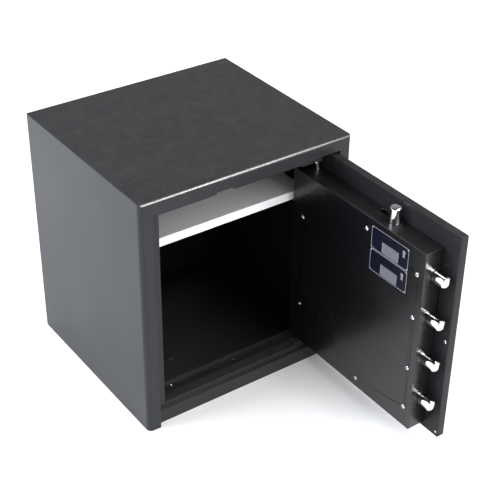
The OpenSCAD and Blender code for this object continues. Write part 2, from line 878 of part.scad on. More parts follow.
module handle_hub() {
    color(chrome) in_door() difference() {
        bar_y(handle_x, [bar_axis_y, plate_y0 - rose_t - 0.5], mid_z, hub_r);
        bar_y(handle_x, [spindle_y0, plate_y0], mid_z, spindle_r);
        grip();
    }
}

module handle_bar() {
    color(chrome) in_door() grip();
}

// ---- Labels ----

module label(top) {
    color(navy) in_door()
        block([label_x0, label_x0 + label_w], [cover_y1, cover_y1 + label_t],
            [top - label_h, top]);
}

module label_upper() {
    label(label_top);
}

module label_lower() {
    label(label_top - label_h - label_gap);
}

module label_rivets() {
    inset = 3;
    color(steel) in_door()
        for (x = [label_x0 + inset, label_x0 + label_w - inset], row = [0, 1], end = [0, 1])
            dome_y(x, cover_y1 + label_t, label_top - inset - row * (label_h + label_gap)
                - end * (label_h - 2 * inset), 1.3, 0.6);
}

outer_casing();
rear_panel();
base_panel();
bottom_bar();
inner_liner();
wall_fill();
left_jamb();
right_jamb();
top_jamb();
sill();
sill_screws();
jamb_rivets();
hinge_bracket_top();
hinge_bracket_bottom();
hinge_bush_top();
hinge_bush_bottom();
shelf();
shelf_rail_left();
shelf_rail_right();
door_skin();
door_fill();
door_inner_plate();
plate_studs();
bolt_cover();
cover_screws();
cover_standoffs();
bolt_guide();
top_guide();
hinge_block_top();
hinge_block_bottom();
hinge_pin_top();
hinge_pin_bottom();
hard_plate();
lock_case();
lock_cover();
lock_screws();
lock_levers();
label_upper();
label_lower();
label_rivets();
handle_rose();
key_escutcheon();
spindle_bush();
side_bolt(0);  // side_bolt_1
side_bolt(1);  // side_bolt_2
side_bolt(2);  // side_bolt_3
side_bolt(3);  // side_bolt_4
bolt_carrier();
carrier_screws();
top_bolt();
top_rod();
spindle();
drive_disc();
drive_pins();
handle_hub();
handle_bar();
lock_bolt();
key();
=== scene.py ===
# %% [markdown]
# # A furniture safe with its door open
#
# This lesson dresses a finished CAD model of a small steel safe. The CAD nodes already have the right
# size and place, so most of them only need rounded edges and a finish. Small turned and folded parts,
# such as screws, bolts, the handle and the labels, are built again here with more detail than a CAD
# model carries, and each new piece rides on the body that its CAD node belongs to.

# %% Load the frame
import bmesh
import bpy
import json
import math
from mathutils import Matrix, Vector


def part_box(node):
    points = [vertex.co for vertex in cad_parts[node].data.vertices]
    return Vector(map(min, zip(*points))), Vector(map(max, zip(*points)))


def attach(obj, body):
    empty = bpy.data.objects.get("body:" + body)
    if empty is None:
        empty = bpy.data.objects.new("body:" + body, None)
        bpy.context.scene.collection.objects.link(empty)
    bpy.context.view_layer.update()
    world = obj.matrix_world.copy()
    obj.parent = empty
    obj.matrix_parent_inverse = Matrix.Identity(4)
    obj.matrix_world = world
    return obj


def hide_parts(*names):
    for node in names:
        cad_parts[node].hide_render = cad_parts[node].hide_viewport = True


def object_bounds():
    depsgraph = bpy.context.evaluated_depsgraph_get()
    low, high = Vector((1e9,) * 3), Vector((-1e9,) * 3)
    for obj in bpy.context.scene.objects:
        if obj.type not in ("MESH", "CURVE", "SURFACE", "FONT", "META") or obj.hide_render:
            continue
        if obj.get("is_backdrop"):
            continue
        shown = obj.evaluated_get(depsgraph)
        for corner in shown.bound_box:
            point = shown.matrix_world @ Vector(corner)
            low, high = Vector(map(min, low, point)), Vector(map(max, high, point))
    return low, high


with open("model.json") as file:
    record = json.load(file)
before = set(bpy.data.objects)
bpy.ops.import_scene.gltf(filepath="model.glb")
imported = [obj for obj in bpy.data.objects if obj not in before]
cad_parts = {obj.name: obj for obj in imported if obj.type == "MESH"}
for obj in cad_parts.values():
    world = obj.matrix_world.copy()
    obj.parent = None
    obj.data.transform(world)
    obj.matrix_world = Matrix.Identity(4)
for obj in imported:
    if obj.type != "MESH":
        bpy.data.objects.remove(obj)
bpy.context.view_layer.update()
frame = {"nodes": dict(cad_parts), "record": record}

NODES = frame["nodes"]
MM = 0.001

# %% [markdown]
# The camera comes first, because everything else is judged through it. It stands high on the left of
# the safe with a long lens, which keeps the upright edges almost parallel. A camera could be placed by
# hand, but an aim point, a distance and two angles say the same thing in words that can be checked.

# %% Camera
AIM = Vector((0.0899, -0.0826, 0.2278))
DISTANCE = 2.3968
AZIMUTH, ELEVATION, ROLL = math.radians(-35.75), math.radians(33.15), math.radians(0.79)
LENS = 86.59


def make_camera():
    data = bpy.data.cameras.new("view_camera")
    data.lens = LENS
    data.sensor_width = 36.0
    camera = bpy.data.objects.new("view_camera", data)
    back = Vector((math.sin(AZIMUTH) * math.cos(ELEVATION), -math.cos(AZIMUTH) * math.cos(ELEVATION),
                   math.sin(ELEVATION)))
    turn = (-back).to_track_quat("-Z", "Y").to_matrix() @ Matrix.Rotation(ROLL, 3, "Z")
    camera.matrix_world = Matrix.Translation(AIM + back * DISTANCE) @ turn.to_4x4()
    bpy.context.scene.collection.objects.link(camera)
    bpy.context.scene.camera = camera
    return camera


camera = make_camera()
print("camera at", [round(c, 3) for c in camera.location])

# %% [markdown]
# Effects that several finishes share are node groups, so that each material places them with its own
# values. A group gives out only colours, masks and heights. The shader and its plain numbers stay in
# the material. Two helpers keep the node code short: one opens a group with named sockets, and one
# links a socket or sets its value.

# %% Helpers for node groups
def open_group(name, inputs, outputs):
    tree = bpy.data.node_groups.new(name, "ShaderNodeTree")
    for socket, kind, value in inputs:
        made = tree.interface.new_socket(name=socket, in_out="INPUT", socket_type="NodeSocket" + kind)
        made.default_value = value
    for socket, kind in outputs:
        tree.interface.new_socket(name=socket, in_out="OUTPUT", socket_type="NodeSocket" + kind)
    return tree, tree.nodes.new("NodeGroupInput").outputs, tree.nodes.new("NodeGroupOutput").inputs


def feed(tree, target, source):
    """Links a socket to target, or sets target's value."""
    if isinstance(source, bpy.types.NodeSocket):
        tree.links.new(source, target)
    else:
        target.default_value = source


def math_node(tree, operation, *values, clamp=False):
    node = tree.nodes.new("ShaderNodeMath")
    node.operation = operation
    node.use_clamp = clamp
    for target, value in zip(node.inputs, values):
        feed(tree, target, value)
    return node.outputs[0]


def mix_colours(tree, factor, first, second, blend="MIX"):
    node = tree.nodes.new("ShaderNodeMix")
    node.data_type = "RGBA"
    node.blend_type = blend
    feed(tree, node.inputs["Factor"], factor)
    feed(tree, node.inputs["A"], first)
    feed(tree, node.inputs["B"], second)
    return node.outputs["Result"]


def remap(tree, value, low, high, new_low, new_high):
    node = tree.nodes.new("ShaderNodeMapRange")
    for target, source in zip(node.inputs, (value, low, high, new_low, new_high)):
        feed(tree, target, source)
    return node.outputs["Result"]


def noise(tree, scale, detail=2.0, vector=None, roughness=0.5):
    node = tree.nodes.new("ShaderNodeTexNoise")
    coordinates = vector or tree.nodes.new("ShaderNodeTexCoord").outputs["Object"]
    feed(tree, node.inputs["Vector"], coordinates)
    feed(tree, node.inputs["Scale"], scale)
    feed(tree, node.inputs["Detail"], detail)
    feed(tree, node.inputs["Roughness"], roughness)
    return node.outputs["Fac"]


# %% [markdown]
# Powder coat isn't smooth: the powder melts into low rounded bumps about a millimetre apart, with a
# finer grain on top. They break up each highlight into a soft sparkle. The bumps are a smooth Voronoi
# pattern and the grain is noise, and the group puts out their sum as a height, with a fleck mask that
# makes the tops of the bumps a trifle lighter.

# %% Effect: powder grain
def powder_grain_group():
    tree, given, out = open_group("powder_grain", [("Bumps", "Float", 700.0), ("Grain", "Float", 0.35)],
                                  [("Height", "Float"), ("Fleck", "Float")])
    cells = tree.nodes.new("ShaderNodeTexVoronoi")
    cells.feature = "SMOOTH_F1"
    feed(tree, cells.inputs["Vector"], tree.nodes.new("ShaderNodeTexCoord").outputs["Object"])
    feed(tree, cells.inputs["Scale"], given["Bumps"])
    fine = noise(tree, math_node(tree, "MULTIPLY", given["Bumps"], 2.6), 1.0)
    low = math_node(tree, "SUBTRACT", 1.0, cells.outputs["Distance"])
    height = math_node(tree, "ADD", low, math_node(tree, "MULTIPLY", fine, given["Grain"]))
    feed(tree, out["Height"], height)
    feed(tree, out["Fleck"], remap(tree, height, 0.75, 1.15, 0.0, 1.0))
    return tree


# %% [markdown]
# No painted sheet is one even tone. A slow drift of a few per cent over some ten centimetres comes
# from the thickness of the coat. It could be painted by hand, but slow noise does it on every side of
# a part at once, with no seams.

# %% Effect: slow tone
def slow_tone_group():
    tree, given, out = open_group(
        "slow_tone", [("Colour", "Color", (0.5, 0.5, 0.5, 1)), ("Drift", "Float", 0.15),
                      ("Scale", "Float", 7.0)],
        [("Colour", "Color"), ("Mask", "Float")])
    cloud = noise(tree, given["Scale"], 3.0)
    gain = math_node(tree, "ADD", 1.0, math_node(tree, "MULTIPLY", math_node(tree, "SUBTRACT", cloud, 0.5),
                                                 given["Drift"]))
    scaled = tree.nodes.new("ShaderNodeVectorMath")
    scaled.operation = "SCALE"
    feed(tree, scaled.inputs[0], given["Colour"])
    feed(tree, scaled.inputs["Scale"], gain)
    feed(tree, out["Colour"], scaled.outputs["Vector"])
    feed(tree, out["Mask"], cloud)
    return tree


# %% [markdown]
# Paint draws back from sharp edges as it cures and gets rubbed there first. The mask compares the true
# normal with one that is rounded over a small radius: they differ only near an edge. Noise breaks the
# mask up so that the wear isn't a drawn line.

# %% Effect: edge wear
def edge_wear_group():
    tree, given, out = open_group(
        "edge_wear", [("Colour", "Color", (0.5, 0.5, 0.5, 1)), ("Worn", "Color", (0.6, 0.6, 0.6, 1)),
                      ("Amount", "Float", 0.5), ("Radius", "Float", 0.0015)],
        [("Colour", "Color"), ("Mask", "Float")])
    rounded = tree.nodes.new("ShaderNodeBevel")
    rounded.samples = 6
    feed(tree, rounded.inputs["Radius"], given["Radius"])
    meet = tree.nodes.new("ShaderNodeVectorMath")
    meet.operation = "DOT_PRODUCT"
    feed(tree, meet.inputs[0], rounded.outputs["Normal"])
    feed(tree, meet.inputs[1], tree.nodes.new("ShaderNodeNewGeometry").outputs["Normal"])
    edge = remap(tree, meet.outputs["Value"], 0.995, 0.85, 0.0, 1.0)
    broken = remap(tree, noise(tree, 90.0, 4.0), 0.35, 0.65, 0.2, 1.0)
    mask = math_node(tree, "MULTIPLY", math_node(tree, "MULTIPLY", edge, broken), given["Amount"], clamp=True)
    feed(tree, out["Colour"], mix_colours(tree, mask, given["Colour"], given["Worn"]))
    feed(tree, out["Mask"], mask)
    return tree


# %% [markdown]
# Dust lies on what faces up and hardly at all on what stands upright. The mask takes the upward part
# of the normal and thins it with noise. A new safe has very little, so each finish asks for only a few
# per cent of it.

# %% Effect: dust
def dust_group():
    tree, given, out = open_group(
        "dust", [("Colour", "Color", (0.5, 0.5, 0.5, 1)), ("Amount", "Float", 0.05)],
        [("Colour", "Color"), ("Mask", "Float")])
    parts = tree.nodes.new("ShaderNodeSeparateXYZ")
    feed(tree, parts.inputs[0], tree.nodes.new("ShaderNodeNewGeometry").outputs["Normal"])
    up = remap(tree, parts.outputs["Z"], 0.3, 1.0, 0.0, 1.0)
    patchy = remap(tree, noise(tree, 55.0, 6.0, roughness=0.65), 0.4, 0.75, 0.25, 1.0)
    mask = math_node(tree, "MULTIPLY", math_node(tree, "MULTIPLY", up, patchy), given["Amount"], clamp=True)
    feed(tree, out["Colour"], mix_colours(tree, mask, given["Colour"], (0.55, 0.53, 0.50, 1)))
    feed(tree, out["Mask"], mask)
    return tree


# %% [markdown]
# Turned and drawn metal keeps fine marks that run one way. Stretching a noise pattern along one axis
# gives them. The same group serves rolled sheet, ground bars and plated rods, with other values for
# the direction and the depth.

# %% Effect: tool marks
def tool_marks_group():
    tree, given, out = open_group(
        "tool_marks", [("Stretch", "Vector", (40.0, 1200.0, 1200.0)), ("Smudge", "Float", 0.5)],
        [("Height", "Float"), ("Smudge", "Float")])
    stretched = tree.nodes.new("ShaderNodeVectorMath")
    stretched.operation = "MULTIPLY"
    feed(tree, stretched.inputs[0], tree.nodes.new("ShaderNodeTexCoord").outputs["Object"])
    feed(tree, stretched.inputs[1], given["Stretch"])
    feed(tree, out["Height"], noise(tree, 1.0, 3.0, stretched.outputs["Vector"], 0.6))
    cloudy = remap(tree, noise(tree, 120.0, 4.0, roughness=0.6), 0.4, 0.7, 0.0, 1.0)
    feed(tree, out["Smudge"], math_node(tree, "MULTIPLY", cloudy, given["Smudge"]))
    return tree


EFFECTS = {tree.name: tree for tree in (powder_grain_group(), slow_tone_group(), edge_wear_group(),
                                        dust_group(), tool_marks_group())}
print("effects", sorted(EFFECTS))

# %% [markdown]
# Every finish is one Principled shader. Its fixed numbers sit on its own sockets, and only what changes
# over the surface comes in through a link. `start_finish` makes the material and sets those numbers,
# and `place` puts an effect into it.

# %% Helpers for materials
def start_finish(name, **numbers):
    finish = bpy.data.materials.new(name)
    finish.use_nodes = True
    shader = finish.node_tree.nodes["Principled BSDF"]
    for socket, value in numbers.items():
        shader.inputs[socket.replace("_", " ")].default_value = value
    return finish, finish.node_tree, shader


def place(tree, effect, **inputs):
    node = tree.nodes.new("ShaderNodeGroup")
    node.node_tree = EFFECTS[effect]
    for socket, value in inputs.items():
        feed(tree, node.inputs[socket], value)
    return node.outputs


def raise_bumps(tree, shader, height, depth, strength=1.0):
    bump = tree.nodes.new("ShaderNodeBump")
    bump.inputs["Strength"].default_value = strength
    bump.inputs["Distance"].default_value = depth
    feed(tree, bump.inputs["Height"], height)
    feed(tree, shader.inputs["Normal"], bump.outputs["Normal"])


# %% [markdown]
# Most of the safe is powder-coated steel. One function makes every painted finish, because they differ
# only in colour, gloss, grain and how much wear and dust they show: an anthracite coat outside, a
# glossier black one on the bolt cover, a matt one inside, and a light grey one on the shelf.

# %% Painted finishes
def painted(name, colour, worn, gloss=(0.40, 0.52), bumps=720.0, depth=0.00012, wear=0.35, dust=0.03,
            drift=0.18, sheen=0.16):
    finish, tree, shader = start_finish(name, Metallic=0.0, IOR=1.5, Specular_IOR_Level=sheen)
    grain = place(tree, "powder_grain", Bumps=bumps, Grain=0.35)
    tone = place(tree, "slow_tone", Colour=(*colour, 1), Drift=drift, Scale=6.0)
    flecked = mix_colours(tree, math_node(tree, "MULTIPLY", grain["Fleck"], 0.25), tone["Colour"],
                          (*[min(1.0, c * 1.7) for c in colour], 1))
    edges = place(tree, "edge_wear", Colour=flecked, Worn=(*worn, 1), Amount=wear, Radius=0.0012)
    top = place(tree, "dust", Colour=edges["Colour"], Amount=dust)
    feed(tree, shader.inputs["Base Color"], top["Colour"])
    rough = remap(tree, tone["Mask"], 0.3, 0.7, gloss[0], gloss[1])
    dusty = math_node(tree, "ADD", rough, math_node(tree, "MULTIPLY", top["Mask"], 0.6), clamp=True)
    feed(tree, shader.inputs["Roughness"], dusty)
    raise_bumps(tree, shader, grain["Height"], depth)
    return finish


ANTHRACITE = (0.020, 0.0205, 0.0225)
FINISHES = {
    "casing_paint": painted("anthracite_casing_coat", ANTHRACITE, (0.10, 0.10, 0.11), (0.28, 0.36)),
    "frame_paint": painted("anthracite_frame_coat", ANTHRACITE, (0.10, 0.10, 0.10), (0.32, 0.42)),
    "liner_paint": painted("matt_liner_coat", (0.0030, 0.0030, 0.0034), (0.01, 0.01, 0.01), (0.60, 0.72),
                           sheen=0.12, dust=0.0),
    "shelf_paint": painted("pale_shelf_coat", (0.70, 0.71, 0.72), (0.80, 0.80, 0.80), (0.42, 0.55), 900.0,
                           0.00004, 0.2, 0.02, 0.05),
    # The door coat is the casing's anthracite made about half as dark. The darkening is painted shade for the
    # darker look of the door's faces.
    "door_paint": painted("anthracite_door_coat", (0.011, 0.011, 0.0125), (0.11, 0.11, 0.11), (0.34, 0.44)),
    "cover_paint": painted("black_cover_coat", (0.0032, 0.0030, 0.0038), (0.03, 0.03, 0.033), (0.22, 0.30),
                           620.0, 0.00006, dust=0.004, sheen=0.5),
}
print("painted finishes", sorted(FINISHES))

# %% [markdown]
# Bolts, pins, screws and the handle are bright chrome. A perfect mirror looks false, so faint marks from
# the grinding run round or along the part, and handling leaves cloudy patches that are a little
# rougher. Bright zinc plate and nickel are the same idea with other colours and a duller surface.

# %% Bright metals
def plated(name, colour, gloss, stretch=(1500.0, 1500.0, 60.0), depth=0.00001, smudge=0.5, drift=0.10):
    finish, tree, shader = start_finish(name, Metallic=1.0)
    marks = place(tree, "tool_marks", Stretch=stretch, Smudge=smudge)
    tone = place(tree, "slow_tone", Colour=(*colour, 1), Drift=drift, Scale=30.0)
    feed(tree, shader.inputs["Base Color"], tone["Colour"])
    feed(tree, shader.inputs["Roughness"], remap(tree, marks["Smudge"], 0.0, 1.0, gloss[0], gloss[1]))
    raise_bumps(tree, shader, marks["Height"], depth)
    return finish


FINISHES["bright_chrome"] = plated("bright_chrome_plate", (0.64, 0.64, 0.65), (0.07, 0.20))
FINISHES["zinc_steel"] = plated("bright_zinc_plate", (0.58, 0.59, 0.60), (0.26, 0.42), (60.0, 900.0, 900.0),
                                0.00003)
FINISHES["key_nickel"] = plated("nickel_plate", (0.70, 0.68, 0.63), (0.18, 0.34))
FINISHES["bush_brass"] = plated("turned_brass", (0.78, 0.60, 0.30), (0.20, 0.36))
print("metal finishes", [n for n in FINISHES if not n.endswith("paint")])

# %% [markdown]
# The filling is cast between the sheets. It is sealed in and never seen, but it still gets a finish,
# a pale cement with coarse sand in it, in case someone takes the casing off.

# %% Barrier filling
def cast_filling():
    finish, tree, shader = start_finish("cast_filling", Metallic=0.0)
    tone = place(tree, "slow_tone", Colour=(0.50, 0.49, 0.46, 1), Drift=0.5, Scale=40.0)
    sand = noise(tree, 900.0, 6.0)
    feed(tree, shader.inputs["Base Color"], mix_colours(tree, sand, tone["Colour"], (0.36, 0.35, 0.32, 1)))
    feed(tree, shader.inputs["Roughness"], remap(tree, sand, 0.3, 0.7, 0.8, 0.95))
    raise_bumps(tree, shader, sand, 0.0003)
    return finish


# %% [markdown]
# The labels are dark blue film with printed pale parts. Film is smooth with a slight orange peel from
# the paint under it. The border, the pale field and its ruled lines are separate thin pieces, so two
# more finishes are made with the same function.

# %% Label film
def printed_film(name, colour, gloss):
    finish, tree, shader = start_finish(name, Metallic=0.0, IOR=1.46, Specular_IOR_Level=0.3)
    tone = place(tree, "slow_tone", Colour=(*colour, 1), Drift=0.12, Scale=60.0)
    peel = place(tree, "powder_grain", Bumps=500.0, Grain=0.1)
    feed(tree, shader.inputs["Base Color"], tone["Colour"])
    feed(tree, shader.inputs["Roughness"], remap(tree, tone["Mask"], 0.3, 0.7, gloss[0], gloss[1]))
    raise_bumps(tree, shader, peel["Height"], 0.00002)
    return finish


FINISHES["barrier_fill"] = cast_filling()
FINISHES["label_film"] = printed_film("navy_film", (0.0035, 0.0038, 0.0110), (0.25, 0.35))
PALE_PRINT = printed_film("pale_print", (0.17, 0.175, 0.19), (0.35, 0.45))
GREY_PRINT = printed_film("grey_print", (0.03, 0.03, 0.05), (0.35, 0.45))
SILVER_PRINT = printed_film("silver_print", (0.22, 0.22, 0.24), (0.25, 0.35))
print("finishes", len(bpy.data.materials))

# %% [markdown]
# A CAD solid has knife edges, and real sheet and bar never do. Three modifiers soften a CAD node
# without touching its mesh: the first merges the points that its faces share, the second rounds what
# is sharp, and the third makes the flat faces shade flat again. Modelling each part again would give
# the same result for much more code.

# %% Soften the CAD nodes
SHEET_EDGE = 0.5 * MM
BLOCK_EDGE = 0.9 * MM
SHEETS = ("rear_panel", "base_panel", "bottom_bar", "sill", "left_jamb", "right_jamb", "top_jamb",
          "inner_liner", "shelf_rail_left", "shelf_rail_right", "key")
BLOCKS = ("outer_casing", "door_skin", "door_inner_plate", "bolt_cover", "hinge_bracket_top",
          "hinge_bracket_bottom", "key_escutcheon")


def soften(piece, width, segments=2):
    weld = piece.modifiers.new("weld", "WELD")
    weld.merge_threshold = 0.00001
    edge = piece.modifiers.new("edge", "BEVEL")
    edge.width = width
    edge.segments = segments
    edge.limit_method = "ANGLE"
    edge.angle_limit = math.radians(40)
    normals = piece.modifiers.new("normals", "WEIGHTED_NORMAL")
    normals.keep_sharp = True


for row in frame["record"]["subparts"]:
    node = NODES[row["node"]]
    node.data.materials.clear()
    node.data.materials.append(FINISHES[row["material_slot"]])
for name in SHEETS:
    soften(NODES[name], SHEET_EDGE)
for name in BLOCKS:
    soften(NODES[name], BLOCK_EDGE, 3)
print("softened", len(SHEETS) + len(BLOCKS), "nodes of", len(NODES))

# %% [markdown]
# Every new piece takes its place and size from the box of the CAD node that it stands for, so nothing
# has to be fitted by eye. Screws share one CAD node, so its mesh is walked from point to point, and
# each patch that hangs together is one screw with a box of its own.

# %% Helpers for new pieces
BODY_OF = {node: body for body, nodes in frame["record"]["behaviour"]["bodies"].items() for node in nodes}
SLOT_OF = {row["node"]: row["material_slot"] for row in frame["record"]["subparts"]}


def solids_of(node):
    mesh = bmesh.new()
    mesh.from_mesh(NODES[node].data)
    bmesh.ops.remove_doubles(mesh, verts=mesh.verts, dist=0.00002)
    left, boxes = set(mesh.verts), []
    while left:
        group, waiting = set(), [next(iter(left))]
        while waiting:
            vert = waiting.pop()
            if vert not in group:
                group.add(vert)
                waiting += [edge.other_vert(vert) for edge in vert.link_edges]
        left -= group
        spots = [vert.co for vert in group]
        boxes.append((Vector([min(c) for c in zip(*spots)]), Vector([max(c) for c in zip(*spots)])))
    mesh.free()
    return sorted(boxes, key=lambda box: (round(box[0].z, 4), round(box[0].y, 4), round(box[0].x, 4)))


def middle(box):
    return (box[0] + box[1]) / 2


def make_piece(name, mesh, node, finish=None, crisp=38.0, stands_for=True):
    """Turns mesh into a piece that rides on a CAD node's body and mostly stands for that node."""
    bmesh.ops.recalc_face_normals(mesh, faces=mesh.faces)
    data = bpy.data.meshes.new(name)
    mesh.to_mesh(data)
    mesh.free()
    data.shade_smooth()
    data.set_sharp_from_angle(angle=math.radians(crisp))
    piece = bpy.data.objects.new(name, data)
    bpy.context.scene.collection.objects.link(piece)
    data.materials.append(finish or FINISHES[SLOT_OF[node]])
    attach(piece, BODY_OF[node])
    if stands_for:
        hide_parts(node)
    return piece


print("screws in one node", len(solids_of("cover_screws")))

# %% [markdown]
# Screws, bolts, pins, studs, the rose and the handle are all turned shapes: an outline of rings, each
# with a radius and a height along the axis. A screw modifier could revolve a curve in the same way,
# but with rings a single one can also be a hexagon, which makes the socket in a screw's head.

# %% Turned shapes
FACING = {"-X": (-1, 0, 0), "+X": (1, 0, 0), "-Y": (0, -1, 0), "+Z": (0, 0, 1)}


def turned(rings, at, toward, sides=40, bored=False):
    """Rings are (radius, height), or (radius, height, corners) for one that isn't round."""
    mesh = bmesh.new()
    loops = []
    for radius, height, *corners in rings:
        loop = []
        for step in range(sides):
            angle = 2 * math.pi * step / sides
            reach = radius
            if corners:
                half = math.pi / corners[0]
                reach *= math.cos(half) / math.cos(angle % (2 * half) - half)
            loop.append(mesh.verts.new((reach * math.cos(angle), reach * math.sin(angle), height)))
        loops.append(loop)
    pairs = list(zip(loops, loops[1:]))
    if bored:
        pairs.append((loops[-1], loops[0]))
    else:
        mesh.faces.new(loops[0])
        mesh.faces.new(loops[-1])
    for low, high in pairs:
        for step in range(sides):
            after = (step + 1) % sides
            mesh.faces.new((low[step], low[after], high[after], high[step]))
    turn = Vector(FACING[toward]).to_track_quat("Z", "Y").to_matrix().to_4x4()
    mesh.transform(Matrix.Translation(at) @ turn)
    return mesh


def arc(radius, height, bend, start, end, steps=5):
    """Rings along a round corner of the outline, centred at (radius, height)."""
    angles = [math.radians(start + (end - start) * step / steps) for step in range(steps + 1)]
    return [(radius + bend * math.cos(a), height + bend * math.sin(a)) for a in angles]


# %% [markdown]
# The cover is held by chromed button-head screws. The head is a low dome with a flat top and a hexagon
# socket, and it stands on a thin washer face, so that a dark line runs round it.

# %% Button-head screws
def button_head(radius, height, socket):
    dome = [(radius * math.cos(a), height * (0.22 + 0.78 * math.sin(a)))
            for a in [math.radians(t) for t in (8, 20, 32, 44, 54, 62)]]
    foot = [(radius * 0.90, 0.0), (radius * 0.90, height * 0.10), (radius, height * 0.14),
            (radius, height * 0.26)]
    return [*foot, *dome, (socket * 1.12, height), (socket, height * 0.96, 6), (socket, height * 0.42, 6),
            (socket * 0.25, height * 0.30)]


cover_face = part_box("bolt_cover")[0].x
for number, spot in enumerate(solids_of("cover_screws"), 1):
    across, centre = (spot[1].y - spot[0].y) / 2, middle(spot)
    head = button_head(across, cover_face - spot[0].x, across * 0.42)
    rings = [(across * 0.5, cover_face - spot[1].x), *head]
    mesh = turned(rings, (cover_face, centre.y, centre.z), "-X", 36)
    make_piece(f"cover_screw_{number}", mesh, "cover_screws")
for number, spot in enumerate(solids_of("sill_screws"), 1):
    across, centre = (spot[1].y - spot[0].y) / 2, middle(spot)
    rings = button_head(across, spot[1].z - spot[0].z, across * 0.4)
    mesh = turned(rings, (centre.x, centre.y, spot[0].z), "+Z", 36)
    make_piece(f"sill_screw_{number}", mesh, "sill_screws")
print("cover face at", round(cover_face, 4))

# %% [markdown]
# Rivets and studs are plain low domes. The rivets of the frame strip were painted over with it. Two of
# the studs in the door plate are chromed, and the top one was painted with the plate.

# %% Rivets and studs
def low_dome(radius, height):
    return [(radius, 0.0), *[(radius * math.cos(a), height * (0.15 + 0.85 * math.sin(a)))
                             for a in [math.radians(t) for t in (2, 18, 34, 50, 66, 80)]]]


for node, toward, slot in (("jamb_rivets", "-Y", "frame_paint"), ("plate_studs", "-X", "bright_chrome"),
                           ("label_rivets", "-X", "zinc_steel")):
    for number, (low, high) in enumerate(solids_of(node), 1):
        centre = middle((low, high))
        if toward == "-Y":
            foot, height = Vector((centre.x, high.y, centre.z)), high.y - low.y
        else:
            foot, height = Vector((high.x, centre.y, centre.z)), high.x - low.x
        mesh = turned(low_dome((high.z - low.z) / 2, height), foot, toward, 28)
        painted_over = node == "plate_studs" and number == len(solids_of(node))
        kind = "door_paint" if painted_over else slot
        make_piece(f"{node[:-1]}_{number}", mesh, node, FINISHES[kind])
    print(node, len(solids_of(node)))

# %% [markdown]
# The locking bolts are ground and chromed bars. The nose has a small chamfer with soft edges, which
# catches a thin ring of light that a plain cylinder would lack.

# %% Locking bolts
def bolt_rings(radius, length):
    nose = length - 1.5 * MM
    return [(radius - 0.6 * MM, 0.0), *arc(radius - 0.6 * MM, 0.6 * MM, 0.6 * MM, -90, 0, 3),
            (radius, nose - 0.3 * MM), *arc(radius - 0.6 * MM, nose, 0.6 * MM, 10, 40, 3),
            *arc(radius - 1.9 * MM, length - 0.6 * MM, 0.6 * MM, 50, 90, 3)]


for node in ("side_bolt_1", "side_bolt_2", "side_bolt_3", "side_bolt_4", "top_bolt"):
    low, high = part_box(node)
    centre, radius = middle((low, high)), (high.x - low.x) / 2
    if node == "top_bolt":
        mesh = turned(bolt_rings(radius, high.z - low.z), (centre.x, centre.y, low.z), "+Z", 56)
    else:
        mesh = turned(bolt_rings(radius, high.y - low.y), (centre.x, high.y, centre.z), "-Y", 56)
    make_piece(node + "_turned", mesh, node)
print("bolt radius", round(radius, 4))

# %% [markdown]
# The hinge pins are plain hard pins with rounded ends. The lower one has a collar that carries the
# door on its bush.

# %% Hinge pins
pin_low, pin_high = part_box("hinge_pin_top")
pin_radius, pin_middle = (pin_high.x - pin_low.x) / 2, middle((pin_low, pin_high))
PIN_END = 1.2 * MM
COLLAR_RIM = 0.4 * MM
length = pin_high.z - pin_low.z
rings = [*arc(pin_radius - PIN_END, PIN_END, PIN_END, -90, 0),
         *arc(pin_radius - PIN_END, length - PIN_END, PIN_END, 0, 90)]
mesh = turned(rings, (pin_middle.x, pin_middle.y, pin_low.z), "+Z")
make_piece("hinge_pin_top_turned", mesh, "hinge_pin_top")

low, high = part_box("hinge_pin_bottom")
collar_radius = (high.x - low.x) / 2
collar_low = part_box("hinge_bracket_bottom")[1].z + 0.1 * MM - low.z
collar_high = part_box("bolt_cover")[0].z - low.z
length = high.z - low.z
rings = [*arc(pin_radius - PIN_END, PIN_END, PIN_END, -90, 0), (pin_radius, collar_low),
         *arc(collar_radius - COLLAR_RIM, collar_low + COLLAR_RIM, COLLAR_RIM, -90, 0, 3),
         *arc(collar_radius - COLLAR_RIM, collar_high - COLLAR_RIM, COLLAR_RIM, 0, 90, 3),
         (pin_radius, collar_high), *arc(pin_radius - PIN_END, length - PIN_END, PIN_END, 0, 90)]
mesh = turned(rings, (pin_middle.x, pin_middle.y, low.z), "+Z")
make_piece("hinge_pin_bottom_turned", mesh, "hinge_pin_bottom")
print("hinge pins of radius", round(pin_radius, 4))

# %% [markdown]
# The handle outside is a rose, a hub and a turned grip. The rose has a step and soft rims. The hub
# narrows to a waist and swells again where it holds the grip, and the grip is thickest in the middle.
# A lathe makes such shapes, so the outlines are drawn as rings again.

# %% Handle
low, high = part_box("handle_rose")
radius, thick = (high.z - low.z) / 2, high.x - low.x
bore = (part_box("spindle")[1].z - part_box("spindle")[0].z) / 2 + 0.3 * MM
rings = [(bore, 0.0), (radius - 0.2 * MM, 0.0), (radius, 0.3 * MM), (radius, thick * 0.40),
         *arc(radius - 1.0 * MM, thick * 0.40, 1.0 * MM, 0, 90, 4), (radius * 0.80, thick * 0.66),
         (radius * 0.78, thick * 0.96), (radius * 0.76, thick), (bore, thick)]
centre = middle((low, high))
make_piece("handle_rose_turned", turned(rings, (low.x, centre.y, centre.z), "+X", 72, True), "handle_rose")

